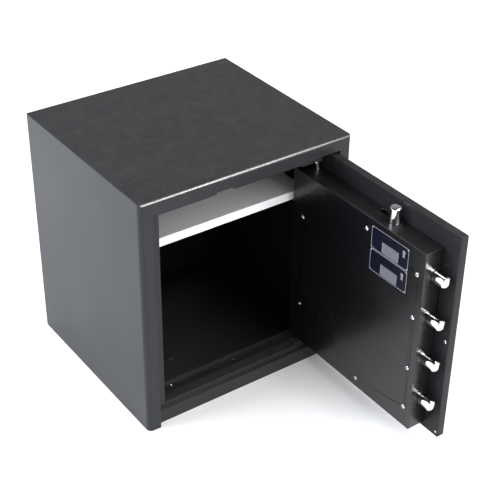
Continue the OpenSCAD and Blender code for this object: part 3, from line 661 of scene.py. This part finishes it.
grip_low, grip_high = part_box("handle_bar")
grip_radius, grip_half = (grip_high.x - grip_low.x) / 2, (grip_high.z - grip_low.z) / 2
low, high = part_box("handle_hub")
radius, reach = (high.z - low.z) / 2, middle((grip_low, grip_high)).x - low.x
shape = ((0.93, 0.0), (1.0, 0.03), (1.0, 0.10), (0.92, 0.18), (0.80, 0.30), (0.74, 0.45), (0.78, 0.62),
         (0.88, 0.78), (0.95, 0.90), (0.97, 1.0), (0.93, 1.12), (0.80, 1.22), (0.58, 1.285), (0.30, 1.31))
rings = [(radius * share, reach * along) for share, along in shape]
make_piece("handle_hub_turned", turned(rings, (low.x, centre.y, centre.z), "+X", 56), "handle_hub")

half_shape = ((0.42, 1.0), (0.60, 0.992), (0.74, 0.972), (0.81, 0.93), (0.84, 0.86), (0.87, 0.72),
              (0.93, 0.52), (0.98, 0.36), (1.0, 0.22))
shape = [(share, -along) for share, along in half_shape]
shape += reversed(half_shape)
rings = [(grip_radius * share, grip_half * along) for share, along in shape]
make_piece("handle_grip_turned", turned(rings, middle((grip_low, grip_high)), "+Z", 48), "handle_bar")
print("grip radius", round(grip_radius, 4), "half length", round(grip_half, 4))

# %% [markdown]
# The shelf is folded sheet. A folded sheet has one thickness all along and a round bend at each fold,
# and it is those bends that draw the thin bright lines. The outline of the outer face is laid out
# once, its corners are rounded by arcs, and a solidify modifier gives it the thickness.

# %% Shelf
SHELF_SHEET, SHELF_BEND = 1.5 * MM, 1.6 * MM


def rounded_route(route, bend, steps=5):
    """The route's points with an arc of radius bend at each corner, which must be a right angle."""
    route = [Vector(point) for point in route]
    points = [route[0]]
    for before, corner, after in zip(route, route[1:], route[2:]):
        came, goes = (corner - before).normalized(), (after - corner).normalized()
        centre = corner - came * bend + goes * bend
        for step in range(steps + 1):
            turn = math.pi / 2 * step / steps
            points.append(centre - goes * bend * math.cos(turn) + came * bend * math.sin(turn))
    return [*points, route[-1]]


low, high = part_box("shelf")
route = rounded_route([(low.y, low.z), (low.y, high.z), (high.y, high.z), (high.y, low.z)], SHELF_BEND)
mesh = bmesh.new()
rows = [[mesh.verts.new((x, y, z)) for x in (low.x, high.x)] for y, z in route]
for row, after in zip(rows, rows[1:]):
    mesh.faces.new((row[0], after[0], after[1], row[1]))
shelf = make_piece("shelf_folded", mesh, "shelf")
solid = shelf.modifiers.new("thickness", "SOLIDIFY")
solid.thickness = SHELF_SHEET
solid.offset = -1.0
soften(shelf, 0.2 * MM)
print("shelf", [round(v, 4) for v in high - low])

# %% [markdown]
# The anchor holes in the floor and the rear wall are closed by black caps until someone needs them. Their
# black is also painted shade: it stands in for the dark that an open hole would show, instead of the pale
# floor behind it. A cap is a thin dome with a rim, so it shows as no more than a faint ring.

# %% Caps on the anchor holes
LINER_SHEET = 1.5 * MM
CAP_RADIUS, CAP_HEIGHT = 9.0 * MM, 1.2 * MM
low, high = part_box("inner_liner")
hole_shade_cap = [(CAP_RADIUS, 0.0), (CAP_RADIUS, CAP_HEIGHT * 0.4), (CAP_RADIUS * 0.92, CAP_HEIGHT * 0.8),
       (CAP_RADIUS * 0.70, CAP_HEIGHT), (CAP_RADIUS * 0.2, CAP_HEIGHT * 0.9)]
for mount in frame["record"]["mounts"]:
    if mount["kind"] != "bolt_pattern":
        continue
    half = mount["dims"]["spacing_x_mm"] / 2 * MM
    for side in (-1, 1):
        x, y, z = mount["pos_m"][0] + side * half, mount["pos_m"][1], mount["pos_m"][2]
        if mount["axis"][2] < 0:
            place_at, toward = (x, y, low.z + LINER_SHEET), "+Z"
        else:
            place_at, toward = (x, high.y - LINER_SHEET, z), "-Y"
        name = f"{mount['name'][:-1]}_cap_{'left' if side < 0 else 'right'}"
        # Each cap takes the liner's matt black, which paints in the shade of the hole under it.
        make_piece(name, turned(hole_shade_cap, place_at, toward, 36), "inner_liner", stands_for=False)
print("liner", [round(v, 4) for v in (*low, *high)])

# %% [markdown]
# The two labels are dark film with printed parts: a silver border, a pale field with ruled lines where
# a table would stand, and a keyhole sign. Each printed part is a very thin piece of its own, which is
# simpler than drawing it in a material and stays sharp at any size. No words are written on them.

# %% Labels
PRINT = 0.12 * MM


def rounded_outline(low, high, radius, steps=4):
    """Corner points (y, z) of a rectangle with round corners."""
    points = []
    for y, z, start in ((high[0] - radius, high[1] - radius, 0), (low[0] + radius, high[1] - radius, 90),
                        (low[0] + radius, low[1] + radius, 180), (high[0] - radius, low[1] + radius, 270)):
        for step in range(steps + 1):
            angle = math.radians(start + 90 * step / steps)
            points.append((y + radius * math.cos(angle), z + radius * math.sin(angle)))
    return points


def film(mesh, outline, back, front, hole=None):
    """A flat piece between x = back and x = front, solid or with a hole of as many points."""
    rows = [[mesh.verts.new((x, y, z)) for y, z in outline] for x in (back, front)]
    if hole:
        rows += [[mesh.verts.new((x, y, z)) for y, z in hole] for x in (front, back)]
        rows.append(rows[0])
    else:
        mesh.faces.new(rows[0])
        mesh.faces.new(rows[1])
    for row, after in zip(rows, rows[1:]):
        for step in range(len(outline)):
            follow = (step + 1) % len(outline)
            mesh.faces.new((row[step], row[follow], after[follow], after[step]))


def inset(low, high, margin):
    return (low[0] + margin, low[1] + margin), (high[0] - margin, high[1] - margin)


def keyhole(y, z, size):
    """Outline of a keyhole: a round head over a flared foot."""
    head = [(y + size * 0.5 * math.cos(a), z + size * 0.5 * math.sin(a))
            for a in [math.radians(-55 + 290 * step / 16) for step in range(17)]]
    return head + [(y - size * 0.42, z - size * 1.35), (y + size * 0.42, z - size * 1.35)]


for node in ("label_upper", "label_lower"):
    low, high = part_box(node)
    face, low_edge, high_edge = low.x, (low.y, low.z), (high.y, high.z)
    wide, tall = high.y - low.y, high.z - low.z
    plate = bmesh.new()
    film(plate, rounded_outline(low_edge, high_edge, 2.5 * MM), high.x, face)
    make_piece(node + "_film", plate, node)
    border = bmesh.new()
    film(border, rounded_outline(*inset(low_edge, high_edge, 0.5 * MM), 2.1 * MM), face, face - PRINT,
         rounded_outline(*inset(low_edge, high_edge, 1.6 * MM), 1.2 * MM))
    make_piece(node + "_border", border, node, SILVER_PRINT)
    field_low = (low.y + wide * 0.26, low.z + tall * 0.08)
    field_high = (low.y + wide * 0.70, low.z + tall * 0.54)
    field = bmesh.new()
    film(field, rounded_outline(field_low, field_high, 0.4 * MM), face, face - PRINT)
    make_piece(node + "_field", field, node, PALE_PRINT)
    rules = bmesh.new()
    for line in range(5):
        height = field_low[1] + (field_high[1] - field_low[1]) * (line + 0.7) / 5.4
        rule_low, rule_high = (field_low[0] + 2 * MM, height), (field_high[0] - 2 * MM, height + 1.5 * MM)
        film(rules, rounded_outline(rule_low, rule_high, 0.1 * MM, 1), face - PRINT, face - 1.5 * PRINT)
    make_piece(node + "_rules", rules, node, GREY_PRINT)
    sign = bmesh.new()
    film(sign, keyhole(low.y + wide * 0.13, low.z + tall * 0.72, 7.5 * MM), face, face - PRINT)
    make_piece(node + "_sign", sign, node, PALE_PRINT)
print("label", round(wide, 4), "by", round(tall, 4))

# %% [markdown]
# The floor is one broad pale sheet and isn't part of the safe. The light is a plain white studio: an
# even white sky, one large soft box behind the left that lights the side wall and the floor there,
# a small one in front that reaches into the cavity, and a narrow strip high in front that only gloss
# sees and that draws the bright line along the rounded roof edge. What gloss sees of the sky is dimmer
# and dark overhead, as under a black ceiling.

# %% Floor and light
SKY_FILL = 1.25
SKY_RIM, SKY_TOP = 0.42, 0.10


def make_floor():
    mesh = bpy.data.meshes.new("studio_floor")
    half = 14.0
    corners = [(-half, -half, 0), (half, -half, 0), (half, half, 0), (-half, half, 0)]
    mesh.from_pydata(corners, [], [(0, 1, 2, 3)])
    floor = bpy.data.objects.new("studio_floor", mesh)
    bpy.context.scene.collection.objects.link(floor)
    finish, tree, shader = start_finish("studio_floor_paint", Metallic=0.0)
    pale = mix_colours(tree, noise(tree, 2.0), (0.90, 0.90, 0.90, 1), (0.92, 0.92, 0.92, 1))
    feed(tree, shader.inputs["Base Color"], pale)
    shader.inputs["Roughness"].default_value = 0.75
    mesh.materials.append(finish)
    floor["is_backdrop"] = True


def soft_box(name, place_at, aim_at, size, power, colour, gloss=True, diffuse=True):
    data = bpy.data.lights.new(name, "AREA")
    data.shape = "RECTANGLE"
    data.size, data.size_y = size
    data.energy = power
    data.color = colour
    light = bpy.data.objects.new(name, data)
    light.visible_glossy, light.visible_diffuse = gloss, diffuse
    direction = Vector(aim_at) - Vector(place_at)
    turn = direction.to_track_quat("-Z", "Y").to_matrix().to_4x4()
    light.matrix_world = Matrix.Translation(place_at) @ turn
    bpy.context.scene.collection.objects.link(light)


def make_sky():
    world = bpy.data.worlds.new("studio_sky")
    world.use_nodes = True
    tree = world.node_tree
    height = tree.nodes.new("ShaderNodeSeparateXYZ")
    feed(tree, height.inputs[0], tree.nodes.new("ShaderNodeTexCoord").outputs["Generated"])
    seen = remap(tree, height.outputs["Z"], 0.45, 0.72, SKY_RIM, SKY_TOP)
    glossy = tree.nodes.new("ShaderNodeLightPath").outputs["Is Glossy Ray"]
    level = tree.nodes.new("ShaderNodeMix")
    for socket, value in (("Factor", glossy), ("A", SKY_FILL), ("B", seen)):
        feed(tree, level.inputs[socket], value)
    sky = tree.nodes["Background"]
    sky.inputs["Color"].default_value = (1.0, 1.0, 1.0, 1)
    feed(tree, sky.inputs["Strength"], level.outputs["Result"])
    bpy.context.scene.world = world


make_floor()
make_sky()
soft_box("left_box", (-2.4, 1.0, 1.5), (-0.2, 0.1, 0.25), (2.0, 2.0), 118.0, (0.84, 0.90, 1.0))
soft_box("cavity_box", (0.45, -2.8, 1.0), (-0.05, -0.1, 0.35), (1.2, 0.5), 55.0, (1.0, 1.0, 1.0), gloss=False)
soft_box("roof_edge_strip", (0.50, -0.98, 1.50), (0.0, -0.2, 0.5), (0.80, 0.22), 150.0, (1.0, 1.0, 1.0),
         diffuse=False)
bpy.context.scene.view_settings.view_transform = "Standard"

# %% Print the sizes
low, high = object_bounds()
print("visual box", [round(v, 4) for v in (*low, *high)])
